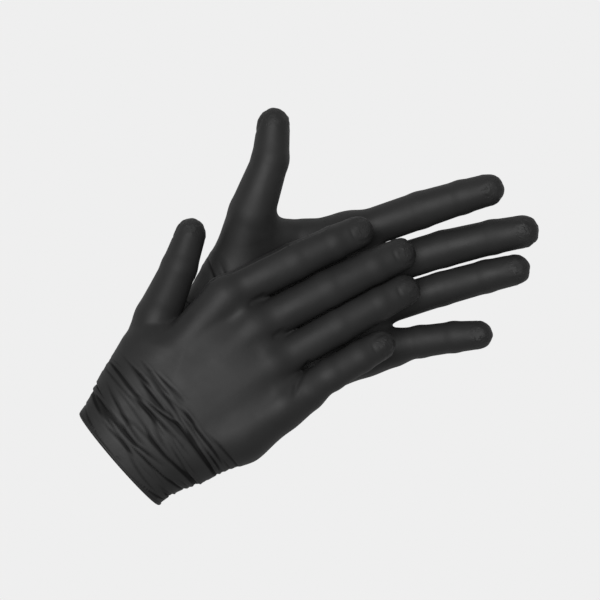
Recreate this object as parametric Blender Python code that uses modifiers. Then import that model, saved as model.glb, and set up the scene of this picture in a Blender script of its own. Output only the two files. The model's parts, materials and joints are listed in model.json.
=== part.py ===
"""A worn pair of black nitrile film gloves, palm to palm.

The left glove lies on its back with the palm up, and the right glove lies on it palm
down.  Each glove is a hollow film shell, divided at the flex lines of the hand so that
it can be posed: cuff bead, cuff, palm, three thumb zones and three zones per finger.
X runs along the fingers to the right, Y runs up the thumbs and Z is up.
Lengths below are in millimetres and angles in degrees; MM turns them into metres.
"""
import math

import bpy
from mathutils import Matrix, Vector

MM = 0.001
FILM = 0.35             # wall of the film as drawn
GAP = 0.5               # clear slit between two neighbouring zones
NOTCH_SPARE = 1.0       # extra opening of a flex notch past the joint's own range
DEPTH = 0.88            # a finger's depth, palm to back, for each unit of its width
SIDES = 16              # facets round a finger
CUFF_SIDES = 28         # facets round a cuff or palm
ROOM_SIDES = 24         # facets round the palm's opening for the thumb
OVERRUN = 6.0           # how far a tube is drawn past a flex line before it is cut
BORE_SPARE = 1.0        # how much further a socket's bore reaches than its outside
NOTCH_REACH = 16.0      # half height of a flex notch, more than a finger's half depth
NOTCH_WIDTH = 40.0      # and its width, more than a finger's
WRIST_REACH = 60.0      # the same for the notch at the wrist
WRIST_WIDTH = 140.0

FINGERS = ("index", "middle", "ring", "little")
ZONES = ("proximal", "middle", "distal")

# Length of each zone along its centre line, knuckle to tip, and half width at the
# knuckle, the two flex lines and the finger pad.
FINGER_LENGTH = {
    "index": (42.0, 24.8, 24.7),
    "middle": (47.0, 29.0, 26.5),
    "ring": (43.3, 26.8, 25.4),
    "little": (33.0, 19.2, 21.8),
}
FINGER_RADIUS = {
    "index": (9.8, 9.6, 9.1, 8.6),
    "middle": (9.8, 9.8, 9.3, 8.8),
    "ring": (9.6, 9.4, 8.9, 8.3),
    "little": (9.0, 8.7, 8.3, 7.7),
}
THUMB_LENGTH = (42.0, 32.0, 30.0)
THUMB_RADIUS = (15.0, 13.2, 10.6, 9.2)
THUMB_START = 3.0       # the thumb's first zone begins this far past its root
THUMB_REACH = 74.0      # the palm is kept clear of the thumb this far along it

# Knuckles in the palm's own plan: distance from the wrist, distance toward the thumb.
KNUCKLE = {"index": (77.9, 25.1), "middle": (77.6, 1.2),
           "ring": (72.1, -20.6), "little": (61.3, -41.5)}

# Palm sections from wrist to knuckles: distance, slant of the section, offset toward
# the thumb, half width and half thickness.
PALM_SECTIONS = (
    (-8.0, 0.00, -5.5, 31.5, 17.2),
    (8.0, 0.00, -8.5, 36.5, 17.2),
    (26.0, 0.06, -10.5, 41.5, 16.6),
    (44.0, 0.14, -10.5, 44.5, 15.2),
    (58.0, 0.22, -9.3, 44.7, 13.2),
    (65.6, 0.25, -8.0, 43.0, 11.0),
)
PALM_SQUARENESS = 2.5   # 2 is an ellipse, higher is boxier
WRIST_RISE = PALM_SECTIONS[0][4]         # wrist centre above the back of the palm
KNUCKLE_HEIGHT = 12.6   # knuckle centre above the back of the palm
STUB_BACK = 24.0        # a finger socket reaches this far back into the palm

CUFF_LENGTH = 24.0
CUFF_OFFSET = -6.0      # cuff centre, away from the thumb
CUFF_RADIUS = (31.5, 31.8, 32.4, 33.0)   # half width from wrist to rim
CUFF_DEPTH = 0.54       # the cuff's depth, palm to back, for each unit of its width
CUFF_BACK = 12.0        # the cuff is drawn this far behind the wrist before it is cut
BEAD_RADIUS = 1.1

# Ranges are measured from the pose drawn, positive toward the palm.  Each digit has its
# knuckle, middle and end joint; a thumb has its root, knuckle and end joint.  What the
# gloves leave free of each other sets most of them.
RANGE = {
    "left": {"wrist": (-15, 20), "thumb": ((-18, 22), (-5, 40), (-8, 70)),
             "index": ((-20, 28), (-5, 85), (-3, 51)),
             "middle": ((-20, 6), (-5, 85), (-3, 51)),
             "ring": ((-20, 11), (-5, 78), (-3, 47)),
             "little": ((-20, 32), (-5, 68), (-3, 41))},
    "right": {"wrist": (-2, 45), "thumb": ((-20, 4), (-20, 8), (-8, 25)),
              "index": ((-40, 3), (-20, 5), (-12, 3)),
              "middle": ((-40, 1), (-20, 3), (-12, 2)),
              "ring": ((-40, 3), (-20, 5), (-12, 3)),
              "little": ((-40, 9), (-20, 17), (-12, 11))},
}

# Pose of each hand: where its wrist is, which way its palm points in plan, how far it
# is pitched, and for each finger its heading, the turn and the lift of the knuckle zone
# and the change at each later joint.
HAND = {
    "left": {
        "wrist": (-34.3, -12.5, 17.2), "heading": 20.5, "pitch": 0.0, "face": 1,
        "cuff": (225.0, 4.0),
        "fingers": {"index": (19.0, -2.0, 5.0, 6.0), "middle": (17.0, -3.5, 4.0, 5.0),
                    "ring": (17.5, -2.0, 4.0, 6.0), "little": (10.5, -2.5, 6.0, 6.0)},
        "root": (3.0, 24.0, 1.0),
        "thumb": ((73.0, 18.0), (70.0, 3.0), (85.0, -3.0)),
    },
    "right": {
        "wrist": (-84.2, -66.4, 57.0), "heading": 40.0, "pitch": -8.5, "face": -1,
        "cuff": (221.0, 0.0),
        "fingers": {"index": (26.5, -1.0, -8.0, -3.0), "middle": (27.5, -1.0, -8.0, -3.0),
                    "ring": (29.5, -1.0, -8.0, -3.0), "little": (31.5, -1.0, -7.5, -3.0)},
        "root": (3.9, 19.0, 6.0),
        "thumb": ((72.0, -11.0), (67.0, -14.0), (72.0, -10.0)),
    },
}

NITRILE = (0.025, 0.025, 0.027)
ROUGHNESS = 0.42
SPECULAR = 0.45
UP = Vector((0.0, 0.0, 1.0))
DOWN = Vector((0.0, 0.0, -1.0))


def direction(heading, lift):
    """Unit vector at a heading in plan and a lift above it, in degrees."""
    h, e = math.radians(heading), math.radians(lift)
    return Vector((math.cos(h) * math.cos(e), math.sin(h) * math.cos(e), math.sin(e)))


def palm_matrix(hand):
    """Palm frame in millimetres: X to the knuckles, Y to the thumb, Z to the viewer."""
    turn = Matrix.Rotation(math.radians(hand["heading"]), 4, "Z")
    tilt = Matrix.Rotation(-math.radians(hand["pitch"]), 4, "Y")
    return Matrix.Translation(Vector(hand["wrist"])) @ turn @ tilt


def chain(start, directions, lengths):
    """Joint centres from a start point along a run of directions."""
    points = [start]
    for way, length in zip(directions, lengths):
        points.append(points[-1] + way * length)
    return points


def flex_axis(way, face):
    """Hinge axis square to a zone, about which a positive turn closes the hand."""
    return Vector((way.y, -way.x, 0.0)).normalized() * face


def zone_matrix(origin, way, axis):
    """Frame with Z along a zone and X along its hinge axis, origin on the hinge."""
    z = way.normalized()
    x = (axis - z * axis.dot(z)).normalized()
    y = z.cross(x)
    basis = Matrix((x, y, z)).transposed().to_4x4()
    return Matrix.Translation(origin) @ basis


def to_metres(matrix):
    """The same placement with its position in metres."""
    placed = matrix.copy()
    placed.translation = matrix.translation * MM
    return placed


def nitrile(name):
    """Satin black nitrile film for one zone."""
    made = bpy.data.materials.new("nitrile_" + name)
    made.use_nodes = True
    shader = made.node_tree.nodes["Principled BSDF"]
    shader.inputs["Base Color"].default_value = (*NITRILE, 1.0)
    shader.inputs["Roughness"].default_value = ROUGHNESS
    shader.inputs["Metallic"].default_value = 0.0
    shader.inputs["Specular IOR Level"].default_value = SPECULAR
    made.diffuse_color = (*NITRILE, 1.0)
    return made


def new_object(name, mesh, collection, matrix=None):
    made = bpy.data.objects.new(name, mesh)
    collection.objects.link(made)
    if matrix is not None:
        made.matrix_world = to_metres(matrix)
    return made


def turned_mesh(name, profile, depth, sides, collection):
    """Open surface turned about Z from a profile that runs tip to base, then flattened
    in Y so that its depth is the given share of its width."""
    mesh = bpy.data.meshes.new(name)
    points = [(r * MM, 0.0, z * MM) for r, z in profile]
    mesh.from_pydata(points, [(i, i + 1) for i in range(len(points) - 1)], [])
    draft = new_object(name + "_profile", mesh, collection)
    screw = draft.modifiers.new("turn", "SCREW")
    screw.axis = "Z"
    screw.angle = math.tau
    screw.steps = screw.render_steps = sides
    screw.use_merge_vertices = True
    screw.merge_threshold = 0.00001
    screw.use_smooth_shade = True
    bpy.context.view_layer.update()
    graph = bpy.context.evaluated_depsgraph_get()
    turned = bpy.data.meshes.new_from_object(draft.evaluated_get(graph))
    bpy.data.objects.remove(draft)
    turned.transform(Matrix.Diagonal((1.0, depth, 1.0, 1.0)))
    turned.name = name
    return turned


def section_point(half_width, half_thick, angle, squareness):
    """Point of a superellipse."""
    c, s = math.cos(angle), math.sin(angle)
    power = 2.0 / squareness
    return (math.copysign(abs(c) ** power, c) * half_width,
            math.copysign(abs(s) ** power, s) * half_thick)


def palm_loft(name, inset, face, collection, matrix):
    """Closed palm body through its sections; every section rests on the same back
    plane.  The inset makes the matching cavity, and face is -1 for a palm turned down."""
    points, faces = [], []
    last = len(PALM_SECTIONS) - 1
    flat = section_point(1.0, 1.0, math.pi / 2 + math.pi / CUFF_SIDES, PALM_SQUARENESS)[1]
    for row, (along, slant, offset, half_width, half_thick) in enumerate(PALM_SECTIONS):
        shift = inset if row == 0 else -inset if row == last else 0.0
        for i in range(CUFF_SIDES):
            angle = (i + 0.5) * math.tau / CUFF_SIDES
            y, z = section_point(half_width - inset, (half_thick - inset) / flat,
                                 angle, PALM_SQUARENESS)
            y += offset
            rise = (z + half_thick - WRIST_RISE) * face
            points.append(((along + shift + y * slant) * MM, y * MM, rise * MM))
    for row in range(last):
        for i in range(CUFF_SIDES):
            a, b = row * CUFF_SIDES + i, row * CUFF_SIDES + (i + 1) % CUFF_SIDES
            faces.append((a, b, b + CUFF_SIDES, a + CUFF_SIDES))
    faces.append(tuple(range(CUFF_SIDES - 1, -1, -1)))
    faces.append(tuple(range(last * CUFF_SIDES, (last + 1) * CUFF_SIDES)))
    mesh = bpy.data.meshes.new(name)
    mesh.from_pydata(points, [], faces)
    if face < 0:
        mesh.flip_normals()
    mesh.update()
    return new_object(name, mesh, collection, matrix)


def hide_tool(tool):
    tool.hide_render = True
    tool.display_type = "WIRE"
    return tool


def tube_tool(name, radii, start, stop, depth, sides, cutters, matrix):
    """Closed tapered tube along Z, to join a socket or to cut a bore or an opening."""
    profile = [(0.0, stop), (radii[1], stop), (radii[0], start), (0.0, start)]
    mesh = turned_mesh(name, profile, depth, sides, cutters)
    return hide_tool(new_object(name, mesh, cutters, matrix))


def boolean(target, tool, operation):
    made = target.modifiers.new(operation.lower() + "_" + tool.name, "BOOLEAN")
    made.operation = operation
    made.object = tool
    made.solver = "EXACT"


def solidify(target, thickness, offset=-1.0):
    made = target.modifiers.new("film", "SOLIDIFY")
    made.thickness = thickness * MM
    made.offset = offset
    made.use_even_offset = True


def notch(name, hinge, sign, limits, reach, width, cutters):
    """Prism that trims one side of a flex line.

    The hinge frame has Z along the child, X along the hinge axis and a positive turn
    moving the child toward -Y.  With sign -1 it trims the parent and with +1 the child;
    what is left is a roof whose ridge lies on the hinge axis, half of each range down
    on either side, so the two zones close together at the ends of the range."""
    low, high = limits
    toward = math.tan(math.radians((high + NOTCH_SPARE) / 2)) * reach
    away = math.tan(math.radians((-low + NOTCH_SPARE) / 2)) * reach
    ridge = sign * GAP / 2
    outline = [(0.0, ridge), (-reach, ridge + sign * toward), (-reach, -sign * reach),
               (reach, -sign * reach), (reach, ridge + sign * away)]
    mesh = bpy.data.meshes.new(name)
    mesh.from_pydata([(0.0, y * MM, z * MM) for y, z in outline], [],
                     [tuple(range(len(outline)))])
    mesh.update()
    tool = new_object(name, mesh, cutters, hinge)
    solidify(tool, width, 0.0)
    return hide_tool(tool)


def tube_profile(radii, start, stop):
    """Profile of an open zone, tip end first."""
    steps = 2
    span = stop - start
    return [(radii[1] + (radii[0] - radii[1]) * i / steps, stop - span * i / steps)
            for i in range(steps + 1)]


def tip_profile(radii, pad, length, start):
    """Profile of a closed tip: a rounded end of the pad's radius on a tapered tube."""
    rounds = 5
    crown = length - pad
    points = [(pad * math.sin(math.pi / 2 * i / rounds),
               crown + pad * math.cos(math.pi / 2 * i / rounds))
              for i in range(rounds + 1)]
    points.append(((radii + pad) / 2, crown / 2))
    points.append((radii, start))
    return points


def film_zone(name, mesh, matrix, parts):
    """A zone of film from its outer surface."""
    made = new_object(name, mesh, parts, matrix)
    solidify(made, FILM)
    made.data.materials.clear()
    made.data.materials.append(nitrile(name))
    return made


def digit(label, points, ways, axes, radii, ranges, thumb, parts, cutters):
    """The zones of one finger or thumb, with the flex notches between them.  Returns the
    notch that the palm needs at a finger's knuckle; a thumb has none."""
    names = ("metacarpal", "proximal", "distal") if thumb else ZONES
    zones = []
    for i, zone in enumerate(names):
        length = (points[i + 1] - points[i]).length
        frame = zone_matrix(points[i], ways[i], axes[i])
        start = THUMB_START if thumb and i == 0 else -OVERRUN
        name = f"{label}_{zone}"
        if i == 2:
            profile = tip_profile(radii[2], radii[3], length, start)
        else:
            profile = tube_profile((radii[i], radii[i + 1]), start, length + OVERRUN)
        mesh = turned_mesh(name, profile, DEPTH, SIDES, cutters)
        zones.append(film_zone(name, mesh, frame, parts))
    for_palm = None
    for i in range(1 if thumb else 0, 3):
        mean = (ways[max(i - 1, 0)] + ways[i]).normalized()
        hinge = zone_matrix(points[i], mean, axes[i])
        child = notch(f"{label}_cut_{i}_child", hinge, 1, ranges[i], NOTCH_REACH,
                      NOTCH_WIDTH, cutters)
        boolean(zones[i], child, "DIFFERENCE")
        width = NOTCH_WIDTH if i else 2 * (radii[0] + GAP)
        parent = notch(f"{label}_cut_{i}_parent", hinge, -1, ranges[i], NOTCH_REACH,
                       width, cutters)
        if i:
            boolean(zones[i - 1], parent, "DIFFERENCE")
        else:
            for_palm = parent
    return for_palm


def build_cuff(side, hand, parts, cutters):
    """The cuff past the wrist and its rolled bead.  Returns the notch that the palm
    needs at the wrist."""
    palm = palm_matrix(hand).to_3x3()
    way = direction(*hand["cuff"])
    palm_way = palm @ Vector((-1.0, 0.0, 0.0))
    across = way.cross(UP).normalized()
    # The left wrist sways in the plane of the palm and the right wrist bends out of it.
    axis = UP if side == "left" else across
    # The cuff follows the wrist section, whose centre lies away from the thumb.
    centre = Vector(hand["wrist"]) + palm @ Vector((0.0, CUFF_OFFSET, 0.0))
    frame = zone_matrix(centre, way, across)
    steps = len(CUFF_RADIUS) - 1
    profile = [(CUFF_RADIUS[i], CUFF_LENGTH * i / steps) for i in range(steps, 0, -1)]
    profile.append((CUFF_RADIUS[0], -CUFF_BACK))
    mesh = turned_mesh(f"{side}_cuff", profile, CUFF_DEPTH, CUFF_SIDES, cutters)
    cuff = film_zone(f"{side}_cuff", mesh, frame, parts)
    hinge = zone_matrix(centre, (way + palm_way).normalized(), axis)
    limits = RANGE[side]["wrist"]
    child = notch(f"{side}_cut_wrist_cuff", hinge, 1, limits, WRIST_REACH, WRIST_WIDTH,
                  cutters)
    boolean(cuff, child, "DIFFERENCE")
    build_bead(side, frame, parts)
    return notch(f"{side}_cut_wrist_palm", hinge, -1, limits, WRIST_REACH, WRIST_WIDTH,
                 cutters)


def build_bead(side, frame, parts):
    """Rolled bead round the rim of the cuff."""
    curve = bpy.data.curves.new(f"{side}_cuff_bead", "CURVE")
    curve.dimensions = "3D"
    curve.bevel_depth = BEAD_RADIUS * MM
    curve.bevel_resolution = 1
    spline = curve.splines.new("POLY")
    spline.points.add(CUFF_SIDES - 1)
    half = CUFF_RADIUS[-1] - FILM / 2
    rise = CUFF_LENGTH + BEAD_RADIUS + GAP / 2
    for i, point in enumerate(spline.points):
        angle = math.tau * i / CUFF_SIDES
        point.co = (half * math.cos(angle) * MM, half * CUFF_DEPTH * math.sin(angle) * MM,
                    rise * MM, 1.0)
    spline.use_cyclic_u = True
    curve.materials.append(nitrile(curve.name))
    new_object(f"{side}_cuff_bead", curve, parts, frame)


def build_palm(side, hand, sockets, room, wrist_notch, parts, cutters):
    """Palm shell: a lofted body with a socket for each finger, opened at the knuckles,
    the wrist and the thumb, and hollowed last."""
    frame, face = palm_matrix(hand), hand["face"]
    palm = palm_loft(f"{side}_palm", 0.0, face, parts, frame)
    cavity = hide_tool(palm_loft(f"{side}_palm_cavity", FILM, face, cutters, frame))
    for name, (socket, radius, _) in sockets.items():
        outer = tube_tool(f"{side}_{name}_socket", (radius, radius), -STUB_BACK,
                          OVERRUN, DEPTH, SIDES, cutters, socket)
        bore = radius - FILM
        inner = tube_tool(f"{side}_{name}_bore", (bore, bore), BORE_SPARE - STUB_BACK,
                          OVERRUN + BORE_SPARE, DEPTH, SIDES, cutters, socket)
        boolean(palm, outer, "UNION")
        boolean(cavity, inner, "UNION")
    for _, _, knuckle_notch in sockets.values():
        boolean(palm, knuckle_notch, "DIFFERENCE")
    for tool in (wrist_notch, room, cavity):
        boolean(palm, tool, "DIFFERENCE")
    palm.data.materials.append(nitrile(palm.name))


def build_finger(side, name, parts, cutters):
    """One finger; returns its socket frame, its radius and its notch in the palm."""
    hand = HAND[side]
    along, aside = KNUCKLE[name]
    rise = (KNUCKLE_HEIGHT - WRIST_RISE) * hand["face"]
    start = palm_matrix(hand) @ Vector((along, aside, rise))
    heading, drift, lift, curl = hand["fingers"][name]
    ways = [direction(heading + drift * i, lift + curl * i) for i in range(3)]
    points = chain(start, ways, FINGER_LENGTH[name])
    axes = [flex_axis(way, hand["face"]) for way in ways]
    radii = FINGER_RADIUS[name]
    cut = digit(f"{side}_{name}", points, ways, axes, radii, RANGE[side][name], False,
                parts, cutters)
    return zone_matrix(start, ways[0], axes[0]), radii[0], cut


def build_thumb(side, parts, cutters):
    """The thumb; returns the opening that its swing needs in the palm."""
    hand = HAND[side]
    along, aside, rise = hand["root"]
    root = palm_matrix(hand) @ Vector((along, aside, rise * hand["face"]))
    ways = [direction(heading, lift) for heading, lift in hand["thumb"]]
    points = chain(root, ways, THUMB_LENGTH)
    digit(f"{side}_thumb", points, ways, [DOWN] * 3, THUMB_RADIUS, RANGE[side]["thumb"],
          True, parts, cutters)
    low, high = RANGE[side]["thumb"][0]
    swing = Matrix.Rotation(math.radians((low + high) / 2), 3, DOWN)
    spread = THUMB_REACH * math.tan(math.radians((high - low) / 2))
    radii = (THUMB_RADIUS[0] + GAP, THUMB_RADIUS[1] + GAP + spread)
    return tube_tool(f"{side}_thumb_opening", radii, 0.0, THUMB_REACH, 1.0, ROOM_SIDES,
                     cutters, zone_matrix(root, swing @ ways[0], DOWN))


def build_glove(side, parts, cutters):
    """One whole glove from its pose."""
    hand = HAND[side]
    sockets = {name: build_finger(side, name, parts, cutters) for name in FINGERS}
    wrist_notch = build_cuff(side, hand, parts, cutters)
    room = build_thumb(side, parts, cutters)
    build_palm(side, hand, sockets, room, wrist_notch, parts, cutters)


def main():
    for item in list(bpy.data.objects):
        bpy.data.objects.remove(item)
    parts = bpy.data.collections.new("nitrile_glove_pair")
    cutters = bpy.data.collections.new("cutters")
    bpy.context.scene.collection.children.link(parts)
    bpy.context.scene.collection.children.link(cutters)
    for side in ("left", "right"):
        build_glove(side, parts, cutters)


main()
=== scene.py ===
"""Looks of a worn pair of black nitrile gloves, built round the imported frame.

Each glove is one smooth skin, worked out as a distance field round the joints of the
frame and meshed in one go, then parted at the places where the film does not bend, so
that every part rides on one body or bends between two.  Lengths are in millimetres and
MM turns them into metres.
"""
import json
import math

import bpy
import numpy as np
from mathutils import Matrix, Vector


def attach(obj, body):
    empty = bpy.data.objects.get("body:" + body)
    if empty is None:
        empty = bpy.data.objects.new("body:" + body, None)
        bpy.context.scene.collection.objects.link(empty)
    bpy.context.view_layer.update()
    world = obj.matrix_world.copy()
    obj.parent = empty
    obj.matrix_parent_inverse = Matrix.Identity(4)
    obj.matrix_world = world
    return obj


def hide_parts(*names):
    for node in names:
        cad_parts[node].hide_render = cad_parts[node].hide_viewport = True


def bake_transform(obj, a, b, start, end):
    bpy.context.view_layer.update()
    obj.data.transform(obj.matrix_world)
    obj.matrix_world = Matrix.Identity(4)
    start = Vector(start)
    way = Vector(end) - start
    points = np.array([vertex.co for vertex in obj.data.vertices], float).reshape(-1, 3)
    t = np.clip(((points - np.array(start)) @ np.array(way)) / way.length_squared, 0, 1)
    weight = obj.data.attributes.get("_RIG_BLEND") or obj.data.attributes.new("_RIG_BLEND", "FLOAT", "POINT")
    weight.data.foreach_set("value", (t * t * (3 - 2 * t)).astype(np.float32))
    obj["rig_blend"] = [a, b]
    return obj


MM = 0.001
SIDES = ("left", "right")
FINGERS = ("index", "middle", "ring", "little")
DIGITS = FINGERS + ("thumb",)
FACE = {"left": 1.0, "right": -1.0}        # +1 where the palm faces the viewer

CELL = 0.85                                # grid of the distance field
BLOCK = 8                                  # cells along the side of one sparse block
FILM = 0.35                                # thickness of the film
DEPTH = 0.88                               # a finger's depth for each unit of its width
GLOVE_GAP = 0.5                            # half of the room kept between the two gloves
FINGER_GAP = 0.6                           # half of the room kept between two fingers

# Half width at the knuckle, the two flex lines and the pad.
RADIUS = {
    "index": (10.3, 10.2, 9.2, 8.6),
    "middle": (10.3, 10.2, 9.4, 8.8),
    "ring": (9.6, 9.4, 8.9, 8.3),
    "little": (9.0, 8.7, 8.3, 7.7),
    "thumb": (15.0, 13.2, 10.6, 9.2),
}

# The palm's plan: distance from the wrist and distance toward the thumb.
WRIST_PLAN = (0.0, -6.0, 0.0)
KNUCKLE_PLAN = {"index": (77.9, 25.1), "middle": (77.6, 1.2),
                "ring": (72.1, -20.6), "little": (61.3, -41.5)}
KNUCKLE_RISE = -4.6                        # knuckle above the wrist, toward the palm side

# Rays and cushions of the palm as cones: along, toward the thumb, toward the palm side
# and radius, at either end.
PALM_CONES = (
    ((0.0, 12.0, 0.5, 15.0), (75.0, 24.6, -4.4, 11.6)),
    ((0.0, 0.0, 0.0, 16.2), (76.0, 1.2, -4.8, 12.2)),
    ((0.0, -14.0, 0.0, 16.2), (70.0, -20.4, -4.8, 12.0)),
    ((4.0, -26.0, 0.5, 15.6), (60.0, -41.0, -4.0, 12.2)),
    ((8.0, -31.0, 1.5, 15.0), (34.0, -39.6, 1.0, 14.6)),
    ((34.0, -39.6, 1.0, 14.6), (76.0, -45.2, -3.4, 10.4)),
)
PALM_BLEND = 8.0
WEB_SLOPE, WEB_RISE = 0.9, 9.0             # the web runs out toward the palm side
# The web between thumb and index, stretched where the thumb is held away.
WEB_CONES = {
    "left": (((31.0, 42.0, 6.8, 10.0), (53.0, 33.0, -2.5, 9.2)),
             ((53.0, 33.0, -2.5, 9.2), (78.0, 27.0, -4.6, 9.0))),
    "right": (),
}
WRIST_START, WRIST_END = (-12.0, -4.8, 0.0), (4.0, -7.0, 0.0)
WRIST_HALF = (31.5, 32.5)
WRIST_DEPTH = 0.53
# A slab that fills the back of the hand between the rays.
SLAB_START, SLAB_END = (12.0, -8.0, -0.6), (42.0, -10.0, -2.6)
SLAB_HALF, SLAB_DEPTH = (37.0, 38.0), 0.39

THUMB_DEPTH = {"left": 0.9, "right": 0.8}
TIP_SPARE = 0.8                            # film tip inside the tip of the frame
PAD_SPAN = ((0.12, 0.9), (0.1, 0.9), (0.1, 0.7))
PAD_LEAN = 0.8
PAD_THIN = 0.9
NEAR = 16.0                                # past this a digit's distance may be rough

CUFF_LENGTH = 24.0
CUFF_BACK = 8.0
CUFF_HALF = (31.5, 33.0)                   # half width at the wrist and at the rim
CUFF_DEPTH = 0.54
BEAD_RADIUS = 1.1
RIM_SPARE = 0.6                            # the film runs this far into the bead
BEAD_TURNS, BEAD_ROUNDS = 180, 14          # points round the rim and round the roll

# How far two shapes are rounded into each other where they meet.
JOINT_BLEND, PAD_BLEND = 1.6, 4.0          # zones of a digit, and its pads
WRIST_BLEND, SLAB_BLEND, CUFF_BLEND, HAND_BLEND = 6.0, 5.0, 6.0, 6.0
THUMB_BLEND = (2.0, 18.0)                  # at the tip, and more toward the palm
THUMB_BLEND_FROM, THUMB_BLEND_LONG = 24.0, 22.0
WEB_CONE_BLEND, WEB_BLEND = 4.0, 9.0
FINGER_BLEND = (0.3, 9.0)                  # past the web, and more before it
FINGER_BLEND_BACK, FINGER_BLEND_LONG = 14.0, 17.0
WEB_SHARE = 0.46                           # of a finger's first zone, where the web ends
GAP_LOST = 7.0                             # the gap between fingers is lost in the web
GAP_BACK, GAP_LONG = 10.0, 13.0
LINE_BACK = 12.0                           # a finger's line reaches behind its knuckle

# Where one glove can press on the other, and the grid round a glove.
PRESS_REACH, DIGIT_REACH = 10.0, 12.0
HAND_BOX = ((-60.0, -75.0, -32.0), (95.0, 60.0, 32.0))
GRID_SPARE, GRID_SPARE_UP = 36.0, 26.0
FAR = 9.0                                  # stands for any distance away from the skin
BATCH = 400                                # blocks worked out at a time
SLOPE_STEP = 0.25
EVEN = 0.6                                 # share of the way to the neighbours' mean

# Film that stands off the hand: strength and size of each noise, and its seeds.
SEED = {"left": 11, "right": 23}
UNEVEN = (0.14, 19.0)
PUCKERS = ((0.30, 2.9), (0.20, 1.7))
PUCKER_BACK, PUCKER_LONG = 15.0, 9.0
SLACK_END, SLACK_LONG = 34.0, 18.0         # the slack film of the wrist
SLEEVE_RADIUS = 26.0
NAIL_HALF, NAIL_LONG, NAIL_BACK, NAIL_DEPTH = 0.72, 6.6, 7.6, 0.30
NAIL_ROUND, NAIL_WIDTH, NAIL_RISE = 2.6, 0.9, 0.10
CREASES = 95
CREASE_SPAN = (-26.0, 22.0)
CREASE_REACH, CREASE_WIDTH, CREASE_DEPTH = (0.35, 1.3), (0.6, 0.95), (0.15, 0.6)
CREASE_SLOPE, CREASE_BOW = 2.4, 2.2
# Folds on the back of the hand: their line in the palm's plan, width and depth.
FOLDS = {
    "left": (),
    "right": ((((88.0, -33.6), (81.0, -35.2), (74.0, -38.0), (67.0, -43.0)), 1.5, 1.1),
              (((93.0, 11.6), (86.0, 12.6), (80.0, 12.0)), 1.4, 0.7),
              (((88.0, -10.0), (80.0, -9.4)), 1.5, 0.6)),
}
FOLD_ANGLE, FOLD_END = 0.5, 74.0           # the thin fold along the index finger
NO_FOLD = 9.0                              # distance that stands for no fold near

# Lengths over which the film bends from one body to the next.
WRIST_FROM, WRIST_TO = -11.0, 13.0
KNUCKLE_BACK, KNUCKLE_FRONT = -11.0, 10.0
BEND_HALF = 8.2
MASK_WIDE, MASK_THIN = 9.0, 0.02           # between two fingers, in the web and past it
MASK_BACK, MASK_FROM = 7.0, 0.6
THUMB_FROM, THUMB_TO = 6.0, 30.0
WEB_NEAR, WEB_FAR = 12.0, 4.0              # width of the thumb's web that gives way
BEND_NEAR, BEND_FAR = 8.0, 3.0             # and of the film next to it at the knuckle
PALM_HOLD, PALM_HOLD_LONG = 12.0, 16.0     # the thumb's web ends this far from the wrist
WHOLE = 0.999                              # share at which a point counts as all turned

# The film's look: the darkest tone and what the random tone and painted light add to it
# (soft clouds, a painted highlight along the index fold, painted shade in the grooves),
# its roughness, its shine in the open and in a groove, and the depths over which a groove
# turns dark with painted shade.
TONE, TONE_SHADE = 0.008, 0.017
ROUGH, SHINE = (0.50, 0.62), (0.42, 0.12)
GROOVE_SHADE_DEPTHS = (-0.42, -0.04)
CLOUD = (0.3, 0.7)                         # range of the soft clouds that vary the film

# Lengths of the stage are in metres.
FRAME_WIDTH = 0.342                        # width in view on the middle plane
MIDDLE_PLANE = 0.030
FLOOR_HALF, FLOOR_LEVEL = 3, -0.036
PALE = (0.863, 0.863, 0.863, 1.0)          # floor and sky as the camera sees them
FILL, KEY_WATTS = 0.2, 7.6                 # soft light from all round, and from above
KEY_PLACE, KEY_SIZE = (-0.15, 0.2, 1.1), 0.9

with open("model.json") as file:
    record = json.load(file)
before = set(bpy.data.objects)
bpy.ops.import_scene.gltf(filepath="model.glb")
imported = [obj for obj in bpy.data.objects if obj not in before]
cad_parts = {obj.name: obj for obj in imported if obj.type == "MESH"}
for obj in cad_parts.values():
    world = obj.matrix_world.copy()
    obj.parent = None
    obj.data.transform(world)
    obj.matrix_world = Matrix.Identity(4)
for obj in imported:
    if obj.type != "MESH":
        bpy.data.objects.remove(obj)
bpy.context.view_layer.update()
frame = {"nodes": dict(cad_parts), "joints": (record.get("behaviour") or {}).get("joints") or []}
JOINT = {j["name"]: j for j in frame["joints"]}


def unit(v):
    return v / np.linalg.norm(v)


def ramp(x):
    """Smooth step from 0 at x = 0 to 1 at x = 1."""
    x = np.clip(x, 0.0, 1.0)
    return x * x * (3.0 - 2.0 * x)


def melt(a, b, k):
    """The smaller of two distances, rounded over k where they are alike."""
    h = np.maximum(k - np.abs(a - b), 0.0) / k
    return np.minimum(a, b) - h * h * k * 0.25


def joint_at(name):
    return np.array(JOINT[name]["pos_m"]) / MM


def joint_axis(name):
    return unit(np.array(JOINT[name]["axis"], float))


def node_points(name):
    mesh = frame["nodes"][name].data
    flat = np.empty(len(mesh.vertices) * 3, np.float32)
    mesh.vertices.foreach_get("co", flat)
    return flat.reshape(-1, 3).astype(float) / MM


def read_digit(side, name):
    """Joint centres, zone directions, hinge axes and palm-side directions of a digit."""
    hinges = ("root", "knuckle", "end") if name == "thumb" else ("knuckle", "mid", "end")
    keys = [f"{side}_{name}_{h}" for h in hinges]
    points = [joint_at(k) for k in keys]
    far = node_points(f"{side}_{name}_distal")
    points.append(far[np.argmax(np.linalg.norm(far - points[2], axis=1))])
    ways = [unit(points[i + 1] - points[i]) for i in range(3)]
    axes = [joint_axis(k) for k in keys]
    pads = [unit(np.cross(axes[i], ways[i])) for i in range(3)]
    lengths = [np.linalg.norm(points[i + 1] - points[i]) for i in range(3)]
    return {"points": points, "ways": ways, "axes": axes, "pads": pads,
            "lengths": lengths, "radius": RADIUS[name]}


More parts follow.
